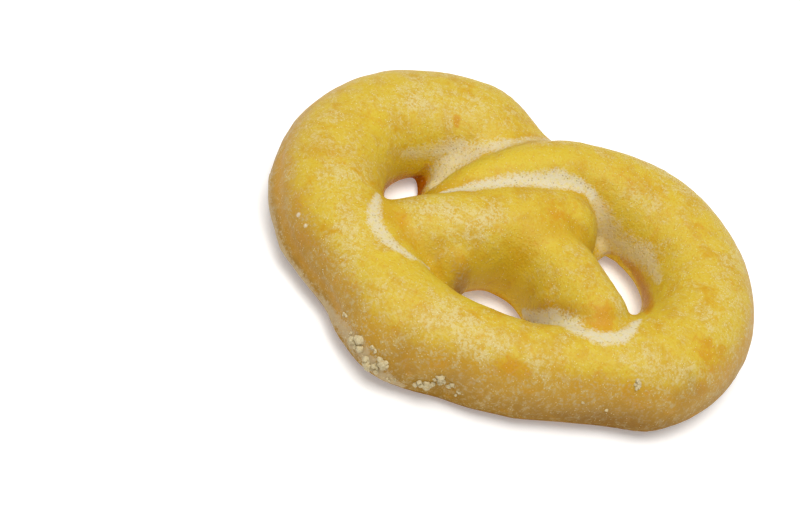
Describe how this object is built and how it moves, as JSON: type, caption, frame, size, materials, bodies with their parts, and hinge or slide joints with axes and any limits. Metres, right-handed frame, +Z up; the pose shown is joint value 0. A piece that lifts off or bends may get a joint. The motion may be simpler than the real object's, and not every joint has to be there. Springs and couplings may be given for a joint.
{
  "type": "pretzel cookie",
  "caption": "Glazed cookie made of a rope of dough looped and twisted into a pretzel, with see-through gaps between the strands, lying on its flat underside.",
  "frame": {"origin": "middle of the underside: centre of the bounding box in X and Y, on the surface that the cookie rests on", "axes": "+X across the two lobes, +Y towards the notch between the lobes, +Z up from the flat underside"},
  "size_m": [0.0694, 0.0534, 0.0138],
  "materials": {
    "glazed_dough": "baked dough under a thin egg and sugar glaze, satin, golden yellow with pale cream and brown patches"
  },
  "bodies": {
    "root": {"pretzel_cookie": "glazed_dough"}
  },
  "joints": []
}
